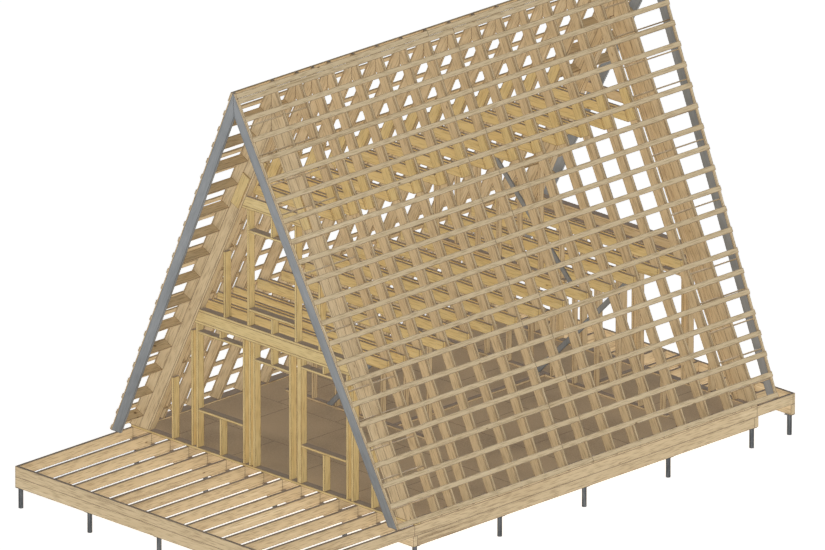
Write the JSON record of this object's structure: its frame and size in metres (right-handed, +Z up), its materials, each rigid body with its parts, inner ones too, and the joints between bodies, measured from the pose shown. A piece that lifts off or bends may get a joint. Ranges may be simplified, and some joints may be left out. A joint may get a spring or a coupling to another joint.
{
  "type": "timber frame of an a-frame cabin",
  "caption": "Bare timber frame of an A-frame cabin on screw piles, with an open front deck, raked rafters, collars, roof battens, barge boards and framed gable walls",
  "frame": {"origin": "on the ground at the middle of the whole frame's width and length", "axes": "+Z up, Y along the ridge with the deck end at -Y, X across the frame"},
  "size_m": [7.2948, 12.5044, 8.2268],
  "materials": {
    "pile_steel": "satin dark grey",
    "cap_steel": "matt near black",
    "frame_timber": "sawn softwood, tan",
    "batten_timber": "sawn softwood, light tan",
    "yellow_timber": "planed softwood, honey yellow",
    "floor_sheet": "brown sheet board",
    "grey_board": "painted matt grey board"
  },
  "bodies": {
    "root": {"pile_tubes": "pile_steel", "pile_caps": "cap_steel", "cross_bearers": "frame_timber", "side_bearers": "frame_timber", "deck_rims": "frame_timber", "deck_joists": "frame_timber", "hall_rims": "frame_timber", "hall_joists": "frame_timber", "porch_rims": "frame_timber", "porch_joists": "frame_timber", "floor_sheets": "floor_sheet", "sole_plates": "frame_timber", "left_rafters": "frame_timber", "right_rafters": "frame_timber", "left_counter_battens": "frame_timber", "right_counter_battens": "frame_timber", "left_roof_battens": "batten_timber", "right_roof_battens": "batten_timber", "left_gable_rungs": "frame_timber", "right_gable_rungs": "frame_timber", "front_barge_boards": "grey_board", "rear_barge_boards": "grey_board", "front_barge_strips": "batten_timber", "rear_barge_strips": "batten_timber", "gable_inner_rafters": "frame_timber", "gable_raked_plates": "frame_timber", "rafter_splices": "yellow_timber", "loft_collars": "yellow_timber", "high_collars": "yellow_timber", "gable_floor_plates": "yellow_timber", "gable_studs": "yellow_timber", "gable_sills_and_heads": "yellow_timber", "gable_cripples": "yellow_timber", "gable_head_plates": "yellow_timber", "gable_beams": "yellow_timber", "loft_wall_plates": "yellow_timber", "loft_wall_studs": "yellow_timber", "loft_wall_sills": "yellow_timber", "loft_wall_cripples": "yellow_timber", "partition_floor_plates": "frame_timber", "partition_studs": "frame_timber", "loft_partition_plate": "frame_timber", "loft_partition_studs": "frame_timber", "partition_braces": "grey_board"}
  },
  "joints": []
}
